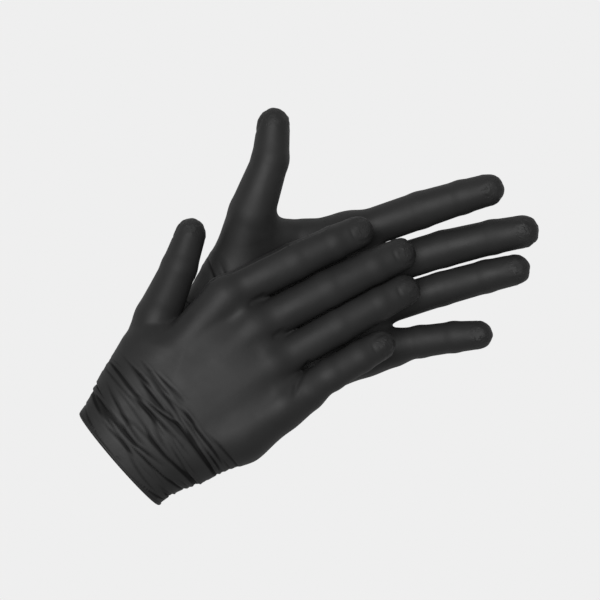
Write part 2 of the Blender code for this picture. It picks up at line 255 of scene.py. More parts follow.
def palm_frame(side):
    """Origin and axes of the palm's plan, fitted to the wrist and the four knuckles."""
    plan = [WRIST_PLAN]
    real = [joint_at(f"{side}_wrist")]
    for name in FINGERS:
        along, aside = KNUCKLE_PLAN[name]
        plan.append((along, aside, KNUCKLE_RISE * FACE[side]))
        real.append(joint_at(f"{side}_{name}_knuckle"))
    plan, real = np.array(plan), np.array(real)
    a, b = plan - plan.mean(0), real - real.mean(0)
    u, _, vt = np.linalg.svd(a.T @ b)
    flip = np.diag([1.0, 1.0, np.sign(np.linalg.det(u @ vt))])
    turn = (u @ flip @ vt).T
    origin = real.mean(0) - turn @ plan.mean(0)
    return origin, turn


def read_glove(side):
    origin, turn = palm_frame(side)
    pivot = joint_at(f"{side}_wrist")
    ring = node_points(f"{side}_cuff_bead")
    way = unit(ring.mean(0) - pivot)
    across = unit(np.cross(way, (0.0, 0.0, 1.0)))
    return {"side": side, "origin": origin, "turn": turn, "pivot": pivot,
            "cuff_way": way, "cuff_across": across, "cuff_up": np.cross(across, way),
            "digits": {d: read_digit(side, d) for d in DIGITS}}


def plan_point(glove, along, aside, rise):
    """A point of the palm's plan in the row frame; rise is toward the palm side."""
    return glove["origin"] + glove["turn"] @ np.array((along, aside,
                                                       rise * FACE[glove["side"]]))


def cone(p, start, end, r0, r1, across=None, depth=1.0):
    """Distance to a cone with round ends, flattened square to its width."""
    span = end - start
    h = np.linalg.norm(span)
    way = span / h
    rel = p - start
    z = rel @ way
    if across is None:
        q = np.sqrt(np.maximum((rel * rel).sum(1) - z * z, 0.0))
    else:
        side = unit(across - way * (across @ way))
        x = rel @ side
        y = rel @ np.cross(way, side)
        q = np.sqrt(x * x + (y / depth) ** 2)
    b = (r0 - r1) / h
    a = math.sqrt(1.0 - b * b)
    k = a * z - b * q
    low = np.sqrt(q * q + z * z) - r0
    high = np.sqrt(q * q + (z - h) ** 2) - r1
    mid = a * q + b * z - r0
    d = np.where(k < 0.0, low, np.where(k > a * h, high, mid))
    return d * (1.0 + depth) / 2.0


def tube(p, start, end, h0, h1, across, depth):
    """Distance to a flat-ended elliptical tube."""
    span = end - start
    h = np.linalg.norm(span)
    way = span / h
    rel = p - start
    z = rel @ way
    x = rel @ across
    y = rel @ np.cross(way, across)
    q = np.sqrt(x * x + (y / depth) ** 2)
    half = h0 + (h1 - h0) * z / h
    return np.maximum((q - half) * depth, np.maximum(-z, z - h))


def digit_field(p, digit, depth, line):
    """Distance to the outside of one finger or thumb, exact near it and rough far off."""
    points, ways, axes = digit["points"], digit["ways"], digit["axes"]
    pads, lengths, r = digit["pads"], digit["lengths"], digit["radius"]
    far_off = line - r[0]
    near = far_off < NEAR
    p = p[near]
    tip = points[3] - ways[2] * (r[3] + TIP_SPARE)
    ends = (points[1], points[2], tip)
    d = None
    for i in range(3):
        part = cone(p, points[i], ends[i], r[i], r[i + 1], axes[i], depth)
        d = part if d is None else melt(d, part, JOINT_BLEND)
    for i in range(3):
        low = points[i] + ways[i] * lengths[i] * PAD_SPAN[i][0]
        high = points[i] + ways[i] * lengths[i] * PAD_SPAN[i][1]
        lean = pads[i] * PAD_LEAN
        fat = cone(p, low + lean, high + lean, r[i] - PAD_THIN, r[i + 1] - PAD_THIN)
        d = melt(d, fat, PAD_BLEND)
    far_off[near] = d
    return far_off


def chain_place(p, digit, back):
    """Distance from the centre line of a digit and the length along it from its first
    joint; back is how far the line reaches behind that joint."""
    best = np.full(len(p), 1e9)
    along = np.zeros(len(p))
    passed = 0.0
    for i in range(3):
        rel = p - digit["points"][i]
        z = rel @ digit["ways"][i]
        low = -back if i == 0 else 0.0
        high = digit["lengths"][i]
        held = np.clip(z, low, high)
        off = rel - held[:, None] * digit["ways"][i]
        d = np.sqrt((off * off).sum(1))
        s = passed + (z if i == 0 else np.maximum(z, 0.0))
        near = d < best
        best = np.where(near, d, best)
        along = np.where(near, s, along)
        passed += digit["lengths"][i]
    return best, along


def web_line(digit):
    """Length along a finger at which the web to its neighbour ends."""
    return digit["lengths"][0] * WEB_SHARE


def cones(p, glove, rows, k):
    """Distance to a run of cones given in the palm's plan."""
    whole = None
    for a, b in rows:
        part = cone(p, plan_point(glove, *a[:3]), plan_point(glove, *b[:3]), a[3], b[3])
        whole = part if whole is None else melt(whole, part, k)
    return whole


def palm_field(p, glove):
    """Distance to the palm, the wrist and the cuff."""
    palm = cones(p, glove, PALM_CONES, PALM_BLEND)
    across = glove["turn"] @ np.array((0.0, 1.0, 0.0))
    start, end = plan_point(glove, *WRIST_START), plan_point(glove, *WRIST_END)
    palm = melt(palm, cone(p, start, end, *WRIST_HALF, across, WRIST_DEPTH), WRIST_BLEND)
    start, end = plan_point(glove, *SLAB_START), plan_point(glove, *SLAB_END)
    palm = melt(palm, cone(p, start, end, *SLAB_HALF, across, SLAB_DEPTH), SLAB_BLEND)
    start = glove["pivot"] - glove["cuff_way"] * CUFF_BACK
    end = glove["pivot"] + glove["cuff_way"] * (CUFF_LENGTH + CUFF_BACK)
    slope = (CUFF_HALF[1] - CUFF_HALF[0]) / CUFF_LENGTH * CUFF_BACK
    cuff = tube(p, start, end, CUFF_HALF[0] - slope, CUFF_HALF[1] + slope,
                glove["cuff_across"], CUFF_DEPTH)
    return melt(palm, cuff, CUFF_BLEND)


def fingers_field(p, glove):
    """Distance to the four fingers, joined by webs and kept apart past them."""
    digits = [glove["digits"][name] for name in FINGERS]
    runs, outs = [], []
    for digit in digits:
        line, run = chain_place(p, digit, LINE_BACK)
        rise = (p - digit["points"][0]) @ digit["pads"][0]
        runs.append(run - WEB_SLOPE * np.clip(rise, -WEB_RISE, WEB_RISE))
        outs.append(digit_field(p, digit, DEPTH, line))
    webs = [(web_line(a) + web_line(b)) / 2 for a, b in zip(digits, digits[1:])]
    whole = None
    for i in range(len(digits)):
        d = outs[i]
        for j, web in ((i - 1, webs[max(i - 1, 0)]), (i + 1, webs[min(i, 2)])):
            if 0 <= j < len(digits):
                shut = 1.0 - ramp((runs[i] - web + GAP_BACK) / GAP_LONG)
                room = FINGER_GAP - GAP_LOST * shut
                d = np.maximum(d, (outs[i] - outs[j]) / 2 + room)
        if whole is None:
            whole = d
            continue
        run = (runs[i - 1] + runs[i]) / 2
        near = 1.0 - ramp((run - webs[i - 1] + FINGER_BLEND_BACK) / FINGER_BLEND_LONG)
        k = FINGER_BLEND[0] + FINGER_BLEND[1] * near
        whole = melt(whole, d, k)
    return whole


def raw_field(p, glove):
    """Distance to the outside of one glove, before it makes room for the other."""
    side, thumb = glove["side"], glove["digits"]["thumb"]
    whole = melt(fingers_field(p, glove), palm_field(p, glove), HAND_BLEND)
    line, run = chain_place(p, thumb, 0.0)
    outside = digit_field(p, thumb, THUMB_DEPTH[side], line)
    near = 1.0 - ramp((run - THUMB_BLEND_FROM) / THUMB_BLEND_LONG)
    k = THUMB_BLEND[0] + THUMB_BLEND[1] * near
    whole = melt(whole, outside, k)
    if WEB_CONES[side]:
        whole = melt(whole, cones(p, glove, WEB_CONES[side], WEB_CONE_BLEND), WEB_BLEND)
    return whole


def field(p, glove, other):
    """Distance to a glove that gives way a little where the other one presses on it."""
    d = raw_field(p, glove)
    near = (np.abs(d) < PRESS_REACH) & reach_of(p, other)
    push = (d[near] - raw_field(p[near], other)) / 2 + GLOVE_GAP
    d[near] = np.maximum(d[near], push)
    return d


def reach_of(p, glove):
    """True for points near enough to a glove to press on it."""
    near = np.zeros(len(p), bool)
    for digit in glove["digits"].values():
        line, _ = chain_place(p, digit, LINE_BACK)
        near |= line < digit["radius"][0] + DIGIT_REACH
    plan = (p - glove["origin"]) @ glove["turn"]
    low, high = np.array(HAND_BOX)
    return near | ((plan > low) & (plan < high)).all(1)


def grid_field(glove, other):
    """The field on a grid, worked out only in the blocks that the skin crosses."""
    spots = [glove["pivot"] + glove["cuff_way"] * CUFF_LENGTH]
    for digit in glove["digits"].values():
        spots += digit["points"]
    for a, b in PALM_CONES:
        spots += [plan_point(glove, *a[:3]), plan_point(glove, *b[:3])]
    spots = np.array(spots)
    low = spots.min(0) - GRID_SPARE
    low[2] = spots[:, 2].min() - GRID_SPARE_UP
    high = spots.max(0) + GRID_SPARE
    high[2] = spots[:, 2].max() + GRID_SPARE_UP
    blocks = np.ceil((high - low) / (CELL * BLOCK)).astype(int)
    shape = blocks * BLOCK
    values = np.full(shape, FAR, np.float32)
    index = np.stack(np.meshgrid(*[np.arange(n) for n in blocks], indexing="ij"), -1)
    index = index.reshape(-1, 3)
    centres = low + (index * BLOCK + (BLOCK - 1) / 2) * CELL
    d = raw_field(centres, glove)
    reach = BLOCK * CELL * 0.87 * 1.25 + 1.5
    local = np.stack(np.meshgrid(*[np.arange(BLOCK)] * 3, indexing="ij"), -1).reshape(-1, 3)
    for at in index[d < -reach]:
        i, j, k = at * BLOCK
        values[i:i + BLOCK, j:j + BLOCK, k:k + BLOCK] = -FAR
    live = index[np.abs(d) <= reach]
    for first in range(0, len(live), BATCH):
        some = live[first:first + BATCH]
        cells = (some[:, None, :] * BLOCK + local[None]).reshape(-1, 3)
        values[cells[:, 0], cells[:, 1], cells[:, 2]] = field(low + cells * CELL, glove,
                                                             other)
    return values, low


CORNERS = [np.array(c) for c in ((0, 0, 0), (1, 0, 0), (0, 1, 0), (1, 1, 0),
                                 (0, 0, 1), (1, 0, 1), (0, 1, 1), (1, 1, 1))]
EDGES = [(a, b) for a in range(8) for b in range(a + 1, 8)
         if abs(CORNERS[a] - CORNERS[b]).sum() == 1]


def skin_mesh(values, low):
    """Quads on the zero level of the grid, one point for each cell it crosses."""
    inside = values < 0
    n = [s - 1 for s in values.shape]
    total = np.zeros(n, np.int8)
    for c in CORNERS:
        total += inside[c[0]:c[0] + n[0], c[1]:c[1] + n[1], c[2]:c[2] + n[2]]
    active = (total > 0) & (total < 8)
    number = np.full(n, -1, np.int64)
    cells = np.argwhere(active)
    number[active] = np.arange(len(cells))
    where = np.zeros((len(cells), 3))
    count = np.zeros(len(cells))
    for a, b in EDGES:
        ca, cb = CORNERS[a], CORNERS[b]
        fa = values[tuple((cells + ca).T)].astype(float)
        fb = values[tuple((cells + cb).T)].astype(float)
        cross = (fa < 0) != (fb < 0)
        t = np.where(cross, fa / np.where(cross, fa - fb, 1.0), 0.0)
        where += np.where(cross[:, None], ca + (cb - ca) * t[:, None], 0.0)
        count += cross
    points = (low + CELL * (cells + where / count[:, None])).astype(np.float32)
    quads = []
    for axis in range(3):
        u, v = (axis + 1) % 3, (axis + 2) % 3
        first = [slice(None)] * 3
        second = [slice(None)] * 3
        first[axis], second[axis] = slice(0, -1), slice(1, None)
        a, b = inside[tuple(first)], inside[tuple(second)]
        for way in (True, False):
            at = np.argwhere((a & ~b) if way else (b & ~a))
            at = at[(at[:, u] > 0) & (at[:, v] > 0) & (at[:, u] < n[u]) & (at[:, v] < n[v])]
            du, dv = np.zeros(3, int), np.zeros(3, int)
            du[u], dv[v] = 1, 1
            ring = [number[tuple((at - o).T)] for o in (du + dv, dv, 0 * du, du)]
            quads.append(np.stack(ring if way else ring[::-1], 1))
    return points, np.concatenate(quads)


def slopes(p, function):
    """Values and unit gradients of a field at the points."""
    base = function(p)
    g = np.stack([function(p + np.eye(3)[i] * SLOPE_STEP) - base for i in range(3)], 1)
    g /= SLOPE_STEP
    size = np.linalg.norm(g, axis=1)
    return base, g / np.maximum(size, 1e-6)[:, None], size


def relax(points, quads, function, rounds=3):
    """Evens out the quads along the skin and sets every point on the zero level."""
    a = quads.ravel()
    b = np.roll(quads, -1, axis=1).ravel()
    for _ in range(rounds):
        total = np.zeros_like(points)
        count = np.zeros(len(points))
        for s, t in ((a, b), (b, a)):
            for k in range(3):
                total[:, k] += np.bincount(s, points[t, k], len(points))
            count += np.bincount(s, minlength=len(points))
        mean = total / count[:, None]
        _, g, size = slopes(points, function)
        move = (mean - points) * EVEN
        move -= (move * g).sum(1)[:, None] * g
        points = points + move
        d = function(points)
        points = points - g * np.clip(d / np.maximum(size, 0.4), -0.5, 0.5)[:, None]
    return points


def vertex_normals(points, quads):
    d1 = points[quads[:, 2]] - points[quads[:, 0]]
    d2 = points[quads[:, 3]] - points[quads[:, 1]]
    n = np.cross(d1, d2)
    total = np.zeros_like(points)
    for c in range(4):
        for k in range(3):
            total[:, k] += np.bincount(quads[:, c], n[:, k], len(points))
    return total / np.maximum(np.linalg.norm(total, axis=1), 1e-9)[:, None]


def places(points, glove):
    """For every point: the digit it is nearest to, the length along that digit, the
    distance to the next digit's line, and the lengths along the cuff and the palm."""
    digits = glove["digits"]
    lines, runs = [], []
    for name in FINGERS:
        line, run = chain_place(points, digits[name], 14.0)
        lines.append(line - digits[name]["radius"][0])
        runs.append(run)
    lines, runs = np.array(lines), np.array(runs)
    order = np.argsort(lines, axis=0)
    pick = order[0]
    take = np.arange(len(points))
    gap = lines[order[1], take] - lines[pick, take]
    thumb_line, thumb_run = chain_place(points, digits["thumb"], -6.0)
    thumb_line -= digits["thumb"]["radius"][0]
    rays = np.full(len(points), 1e9)
    for a, b in PALM_CONES[:4]:
        rays = np.minimum(rays, cone(points, plan_point(glove, *a[:3]),
                                     plan_point(glove, *b[:3]), a[3], b[3]))
    rays = np.minimum(rays, lines.min(0))
    cuff = (points - glove["pivot"]) @ glove["cuff_way"]
    thumb = thumb_line < lines.min(0)
    return {"pick": pick, "run": runs[pick, take], "gap": gap, "rays": rays,
            "thumb_line": thumb_line, "thumb_run": thumb_run, "cuff": cuff,
            "digit": np.where(thumb, len(FINGERS), pick),
            "digit_run": np.where(thumb, thumb_run, runs[pick, take])}


def value_noise(p, size, seed):
    """Smooth noise between -1 and 1 with features of the given size."""
    table = np.random.default_rng(seed).uniform(-1.0, 1.0, 4096).astype(np.float32)
    q = p / size
    base = np.floor(q).astype(np.int64)
    f = q - base
    f = f * f * (3.0 - 2.0 * f)
    total = np.zeros(len(p), np.float32)
    for c in CORNERS:
        at = base + c
        key = (at[:, 0] * 73856093) ^ (at[:, 1] * 19349663) ^ (at[:, 2] * 83492791)
        weight = np.where(c, f, 1.0 - f).prod(1)
        total += table[key & 4095] * weight
    return total


def sleeve_place(points, glove):
    """Length along the sleeve from the wrist toward the fingers, and the angle round
    it, zero on the thumb's side and growing toward the palm side."""
    plan = (points - glove["origin"]) @ glove["turn"]
    cuff = (points - glove["pivot"]) @ glove["cuff_way"]
    share = ramp((cuff + 10.0) / 20.0)
    along = plan[:, 0] * (1.0 - share) - cuff * share
    rise = plan[:, 2] * FACE[glove["side"]]
    across = plan[:, 1] - WRIST_PLAN[1]
    return along, (np.arctan2(rise / CUFF_DEPTH, across) + np.arctan2(rise, across)) / 2


def wrist_creases(along, angle, seed):
    """Long narrow creases round the wrist, where the sleeve of film is slack."""
    rng = np.random.default_rng(seed)
    total = np.zeros(len(along))
    for _ in range(CREASES):
        centre = rng.uniform(*CREASE_SPAN)
        turn = rng.uniform(-math.pi, math.pi)
        reach = rng.uniform(*CREASE_REACH)
        slope, bow = rng.normal(0.0, CREASE_SLOPE), rng.normal(0.0, CREASE_BOW)
        width, depth = rng.uniform(*CREASE_WIDTH), rng.uniform(*CREASE_DEPTH)
        off = (angle - turn + math.pi) % math.tau - math.pi
        x = (along - centre - slope * off - bow * off * off) / width
        fade = ramp((1.0 - np.abs(off) / reach) * 1.6)
        total += depth * fade * (0.55 * np.exp(-(x - 1.7) ** 2) - np.exp(-x * x))
    return total


def fold(plan, rise, line, width, depth):
    """A groove along a line of the palm's plan, on the back of the hand."""
    line = np.array(line)
    best = np.full(len(plan), 1e9)
    share = np.zeros(len(plan))
    for i in range(len(line) - 1):
        a, span = line[i], line[i + 1] - line[i]
        t = np.clip(((plan - a) @ span) / (span @ span), 0.0, 1.0)
        d = np.linalg.norm(plan - a - t[:, None] * span, axis=1)
        near = d < best
        best = np.where(near, d, best)
        share = np.where(near, (i + t) / (len(line) - 1), share)
    fade = ramp((1.0 - share) * 3.0) * ramp(-rise / 4.0 - 0.5)
    return -depth * fade * np.exp(-(best / width) ** 2)


def nails(points, glove, at):
    """A shallow groove round every nail, where the film is drawn over it."""
    out = np.zeros(len(points))
    for i, name in enumerate(DIGITS):
        digit = glove["digits"][name]
        rel = points - digit["points"][3]
        x = rel @ digit["axes"][2] / (digit["radius"][3] * NAIL_HALF)
        z = (rel @ digit["ways"][2] + NAIL_BACK) / NAIL_LONG
        back = ramp(-(rel @ digit["pads"][2]) / digit["radius"][3] * 2.0)
        edge = (np.abs(x) ** NAIL_ROUND + np.abs(z) ** NAIL_ROUND) ** (1 / NAIL_ROUND)
        edge = (edge - 1.0) * digit["radius"][3] * NAIL_HALF
        groove = np.exp(-(edge / NAIL_WIDTH) ** 2)
        flat = ramp(-edge / 2.0)
        out += (at["digit"] == i) * back * (NAIL_RISE * flat - NAIL_DEPTH * groove)
    return out


def detail(points, glove, at):
    """How far the film stands out from the smooth hand at every point, and the masks of
    the slack film at the wrist and the fingertips."""
    seed = SEED[glove["side"]]
    along, angle = sleeve_place(points, glove)
    wrist = ramp((SLACK_END - along) / SLACK_LONG)
    thumb_side = at["rays"] - at["thumb_line"]
    wrist = wrist * (1.0 - ramp((at["thumb_run"] - 4.0) / 14.0) * ramp((thumb_side + 9.0) / 9.0))
    creased = wrist * wrist_creases(along, angle, seed)
    out = creased + UNEVEN[0] * value_noise(points, UNEVEN[1], seed + 1)
    tips = np.zeros(len(points))
    for i, name in enumerate(DIGITS):
        lengths = glove["digits"][name]["lengths"]
        end = ramp((at["digit_run"] - sum(lengths) + PUCKER_BACK) / PUCKER_LONG)
        tips = np.maximum(tips, (at["digit"] == i) * end)
    (coarse, coarse_size), (fine, fine_size) = PUCKERS
    pucker = (coarse * value_noise(points, coarse_size, seed + 3)
              + fine * value_noise(points, fine_size, seed + 4))
    out += tips * pucker + nails(points, glove, at)
    plan = (points - glove["origin"]) @ glove["turn"]
    rise = plan[:, 2] * FACE[glove["side"]]
    for line, width, depth in FOLDS[glove["side"]]:
        out += fold(plan[:, :2], rise, line, width, depth)
    return out, wrist, tips, along, angle, creased


def split(points, quads, glove, at):
    """Names a part for every face, and for every part the share of its second body."""
    digits = glove["digits"]
    count = len(points)
    label = np.zeros(count, int)
    share = np.zeros((3 * len(DIGITS) + 2, count))
    cuff = at["cuff"] > WRIST_FROM
    label[cuff] = 1
    share[1] = ramp((at["cuff"] - WRIST_FROM - 0.5) / (WRIST_TO - WRIST_FROM))
    for i, name in enumerate(FINGERS):
        digit = digits[name]
        l0, l1 = digit["lengths"][:2]
        web = web_line(digit)
        mine = (at["pick"] == i) & ~cuff
        reach = MASK_WIDE * (1.0 - ramp((at["run"] - web + MASK_BACK) / MASK_BACK)) + MASK_THIN
        mask = ramp((at["gap"] - MASK_FROM) / reach)
        first = 2 + 3 * i
        label[mine & (at["run"] > KNUCKLE_BACK)] = first
        label[mine & (at["run"] > l0 - BEND_HALF - 2.0)] = first + 1
        label[mine & (at["run"] > l0 + l1 / 2)] = first + 2
        share[first] = mask * ramp((at["run"] - KNUCKLE_BACK - 1.0)
                                   / (KNUCKLE_FRONT - KNUCKLE_BACK))
        half = min(BEND_HALF, l1 / 2 - 1.5)
        share[first + 1] = ramp((at["run"] - l0 + half) / (2 * half))
        share[first + 2] = ramp((at["run"] - l0 - l1 + half) / (2 * half))
    first = 2 + 3 * len(FINGERS)
    l0, l1 = digits["thumb"]["lengths"][:2]
    run = at["thumb_run"]
    lead = at["rays"] - at["thumb_line"]
    # The web gives way over a wide band by the palm and a narrow one along the thumb.
    far = ramp((run - l0 + 10.0) / 20.0)
    web = WEB_NEAR + (WEB_FAR - WEB_NEAR) * far
    bend = BEND_NEAR + (BEND_FAR - BEND_NEAR) * far
    wrist = ramp((-PALM_HOLD - at["cuff"]) / PALM_HOLD_LONG)
    mask = ramp((lead + 1.0) / web) * wrist
    turned = ramp((lead + 1.0 - web) / bend) * wrist
    thumb = (mask > 0) & (run > THUMB_FROM) & ~cuff
    label[thumb] = first
    label[thumb & (mask > WHOLE) & (run > l0 - 5.0)] = first + 1
    label[thumb & (turned > WHOLE) & (run > l0 + l1 / 2)] = first + 2
    share[first] = mask * ramp((run - THUMB_FROM - 1.0) / (THUMB_TO - THUMB_FROM))
    share[first + 1] = turned * ramp((run - l0 + 3.5) / 17.0)
    share[first + 2] = ramp((run - l0 - l1 + BEND_HALF + 1.0) / (2 * BEND_HALF + 2.0))
    votes = np.sort(label[quads], axis=1)
    return np.where(votes[:, 1] == votes[:, 2], votes[:, 1], votes[:, 2]), share


def part_names(side):
    """Name, bodies and CAD node of every part, in the order of its label."""
    palm = f"{side}_palm"
    rows = [(f"{side}_palm_film", (palm,), palm),
            (f"{side}_cuff_film", (palm, f"{side}_cuff"), f"{side}_cuff")]
    for name in DIGITS:
        zones = (("metacarpal", "proximal", "distal") if name == "thumb"
                 else ("proximal", "middle", "distal"))
        before = palm
        for zone in zones:
            body = f"{side}_{name}_{zone}"
            rows.append((body + "_film", (before, body), body))
            before = body
    return rows


def film_mesh(name, points, quads, normals, attributes):
    """A skin of film with its inner face and its edges."""
    used, flat = np.unique(quads, return_inverse=True)
    outer = flat.reshape(quads.shape)
    p, nrm = points[used], normals[used]
    count = len(p)
    a, b = outer.ravel(), np.roll(outer, -1, axis=1).ravel()
    key = a.astype(np.int64) * count + b
    back = b.astype(np.int64) * count + a
    open_edge = ~np.isin(key, back)
    ea, eb = a[open_edge], b[open_edge]
    rim = np.stack([eb, ea, ea + count, eb + count], 1)
    faces = np.concatenate([outer, outer[:, ::-1] + count, rim])
    co = np.concatenate([p, p - nrm * FILM]) * MM
    mesh = bpy.data.meshes.new(name)
    mesh.vertices.add(len(co))
    mesh.vertices.foreach_set("co", co.astype(np.float32).ravel())
    mesh.loops.add(faces.size)
    mesh.loops.foreach_set("vertex_index", faces.astype(np.int32).ravel())
    mesh.polygons.add(len(faces))
    mesh.polygons.foreach_set("loop_start", np.arange(0, faces.size, 4, dtype=np.int32))
    mesh.update(calc_edges=True)
    mesh.validate()
    mesh.polygons.foreach_set("use_smooth", np.ones(len(mesh.polygons), bool))
    d1 = co[rim[:, 2]] - co[rim[:, 0]]
    d2 = co[rim[:, 3]] - co[rim[:, 1]]
    edge = np.cross(d1, d2)
    edge /= np.maximum(np.linalg.norm(edge, axis=1), 1e-12)[:, None]
    loops = np.concatenate([nrm[outer].reshape(-1, 3), -nrm[outer[:, ::-1]].reshape(-1, 3),
                            np.repeat(edge, 4, axis=0)])
    if len(mesh.loops) == len(loops):
        mesh.normals_split_custom_set(loops.tolist())
    for key, values in attributes.items():
        both = np.concatenate([values[used], values[used]]).astype(np.float32)
        layer = mesh.attributes.new(key, "FLOAT_VECTOR", "POINT")
        layer.data.foreach_set("vector", both.ravel())
    return mesh, used


def add_object(name, mesh, material):
    made = bpy.data.objects.new(name, mesh)
    bpy.context.scene.collection.objects.link(made)
    made.data.materials.append(material)
    return made


def cut_rim(points, quads, glove):
    """Cuts the cuff off square at its rim."""
    rim = CUFF_LENGTH + RIM_SPARE
    cuff = (points - glove["pivot"]) @ glove["cuff_way"]
    quads = quads[(cuff[quads] < rim).all(1)]
    a, b = quads.ravel(), np.roll(quads, -1, axis=1).ravel()
    key, back = a * len(points) + b, b * len(points) + a
    open_edge = ~np.isin(key, back)
    loose = np.unique(np.concatenate([a[open_edge], b[open_edge]]))
    points[loose] += glove["cuff_way"] * (rim - cuff[loose])[:, None]
    return points, quads


def fold_distance(points, glove, at):
    """Distance round the index finger from the thin fold along its thumb side."""
    digit = glove["digits"]["index"]
    far = np.full(len(points), NO_FOLD)
    for i in range(3):
        rel = points - digit["points"][i]
        side = -digit["axes"][i] if glove["side"] == "left" else digit["axes"][i]
        x = rel @ side
        y = rel @ -digit["pads"][i]
        z = rel @ digit["ways"][i]
        low = -12.0 if i == 0 else 0.0
        mine = (at["digit"] == 0) & (z >= low) & (z < digit["lengths"][i])
        arc = (np.arctan2(y, x) - FOLD_ANGLE) * digit["radius"][i]
        far = np.where(mine, arc, far)
    run = at["digit_run"]
    fade = ramp((run + 12.0) / 8.0) * ramp((FOLD_END - run) / 8.0)
    return far + NO_FOLD * (1.0 - fade)


def build_glove(glove, other, film):
    """The skin of one glove, parted and set on its bodies."""
    values, low = grid_field(glove, other)
    points, quads = skin_mesh(values, low)
    points = relax(points, quads, lambda q: field(q, glove, other))
    points, quads = cut_rim(points, quads, glove)
    at = places(points, glove)
    labels, share = split(points, quads, glove, at)
    out, wrist, tips, along, angle, grooves = detail(points, glove, at)
    held = ramp((CUFF_LENGTH - 1.0 - at["cuff"]) / 3.0)
    points = points + vertex_normals(points, quads) * (out * held)[:, None]
    normals = vertex_normals(points, quads)
    plan = (points - glove["origin"]) @ glove["turn"]
    creased = fold_distance(points, glove, at)
    # The depth of the wrist creases, the third value of film_sleeve, later sets painted shade in their
    # grooves; the distance from the index fold, the first value of film_marks, sets a painted highlight
    # along it.
    attributes = {"film_place": plan,
                  "film_marks": np.stack([creased, wrist, tips], 1),
                  "film_sleeve": np.stack([along, angle * SLEEVE_RADIUS, grooves], 1)}
    for label, (name, bodies, node) in enumerate(part_names(glove["side"])):
        faces = quads[labels == label]
        mesh, used = film_mesh(name, points, faces, normals, attributes)
        made = add_object(name, mesh, film)
        if len(bodies) == 1:
            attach(made, bodies[0])
        else:
            start = glove["pivot"] * MM
            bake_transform(made, *bodies, tuple(start), tuple(start + MM))
            both = np.concatenate([share[label][used]] * 2).astype(np.float32)
            mesh.attributes["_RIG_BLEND"].data.foreach_set("value", both)
        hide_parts(node)


def build_bead(glove, film):
    """Rolled bead round the rim of the cuff."""
    side = glove["side"]
    half = CUFF_HALF[1] - FILM / 2
    points = []
    for i in range(BEAD_TURNS):
        angle = math.tau * i / BEAD_TURNS
        c, s = math.cos(angle), math.sin(angle)
        centre = (glove["pivot"] + glove["cuff_way"] * (CUFF_LENGTH + BEAD_RADIUS + 0.25)
                  + glove["cuff_across"] * half * c + glove["cuff_up"] * half * CUFF_DEPTH * s)
        out = unit(glove["cuff_across"] * c * CUFF_DEPTH + glove["cuff_up"] * s)
        for j in range(BEAD_ROUNDS):
            turn = math.tau * j / BEAD_ROUNDS
            points.append(centre + (out * math.cos(turn)
                                    + glove["cuff_way"] * math.sin(turn)) * BEAD_RADIUS)
    faces = []
    for i in range(BEAD_TURNS):
        for j in range(BEAD_ROUNDS):
            k, n = (i + 1) % BEAD_TURNS, (j + 1) % BEAD_ROUNDS
            faces.append((i * BEAD_ROUNDS + j, k * BEAD_ROUNDS + j,
                          k * BEAD_ROUNDS + n, i * BEAD_ROUNDS + n))
    mesh = bpy.data.meshes.new(f"{side}_cuff_roll")
    mesh.from_pydata([tuple(p * MM) for p in points], [], faces)
    mesh.polygons.foreach_set("use_smooth", np.ones(len(mesh.polygons), bool))
    place = (np.array(points) - glove["origin"]) @ glove["turn"]
    marks = np.tile((NO_FOLD, 0.0, 0.0), (len(points), 1))
    for key, values in (("film_place", place), ("film_marks", marks),
                        ("film_sleeve", place * (1.0, 1.0, 0.0))):
        layer = mesh.attributes.new(key, "FLOAT_VECTOR", "POINT")
        layer.data.foreach_set("vector", values.astype(np.float32).ravel())
    made = add_object(f"{side}_cuff_roll", mesh, film)
    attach(made, f"{side}_cuff")
    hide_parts(f"{side}_cuff_bead")


class Graph:
    """Short hand for a material's nodes."""

    def __init__(self, material):
        material.use_nodes = True
        self.nodes = material.node_tree.nodes
        self.links = material.node_tree.links
        self.shader = self.nodes["Principled BSDF"]

    def put(self, socket, value):
        if hasattr(value, "links"):
            self.links.new(value, socket)
        else:
            socket.default_value = value

    def math(self, operation, *values):
        node = self.nodes.new("ShaderNodeMath")
        node.operation = operation
        for socket, value in zip(node.inputs, values):
            self.put(socket, value)
        return node.outputs[0]

    def attribute(self, name):
        node = self.nodes.new("ShaderNodeAttribute")
        node.attribute_name = name
        return node.outputs["Vector"]

    def stretch(self, vector, scale):
        node = self.nodes.new("ShaderNodeMapping")
        self.put(node.inputs["Vector"], vector)
        node.inputs["Scale"].default_value = scale
        return node.outputs[0]

    def noise(self, vector, scale, detail=2.0, kind="FBM", rough=0.5, warp=0.0):
        node = self.nodes.new("ShaderNodeTexNoise")
        node.noise_type = kind
        node.normalize = True
        self.put(node.inputs["Vector"], vector)
        node.inputs["Scale"].default_value = scale
        node.inputs["Detail"].default_value = detail
        node.inputs["Roughness"].default_value = rough
        node.inputs["Distortion"].default_value = warp
        return node.outputs[0]

    def split(self, vector):
        node = self.nodes.new("ShaderNodeSeparateXYZ")
        self.put(node.inputs[0], vector)
        return node.outputs

    def remap(self, value, low, high, to_low, to_high):
        node = self.nodes.new("ShaderNodeMapRange")
        for socket, v in zip(node.inputs, (value, low, high, to_low, to_high)):
            self.put(socket, v)
        return node.outputs[0]

    def bump(self, height, strength, distance, normal=None):
        node = self.nodes.new("ShaderNodeBump")
        self.put(node.inputs["Height"], height)
        node.inputs["Strength"].default_value = strength
        node.inputs["Distance"].default_value = distance
        if normal is not None:
            self.put(node.inputs["Normal"], normal)
        return node.outputs[0]

    def grey(self, value):
        node = self.nodes.new("ShaderNodeCombineColor")
        for socket in node.inputs:
            self.put(socket, value)
        return node.outputs[0]


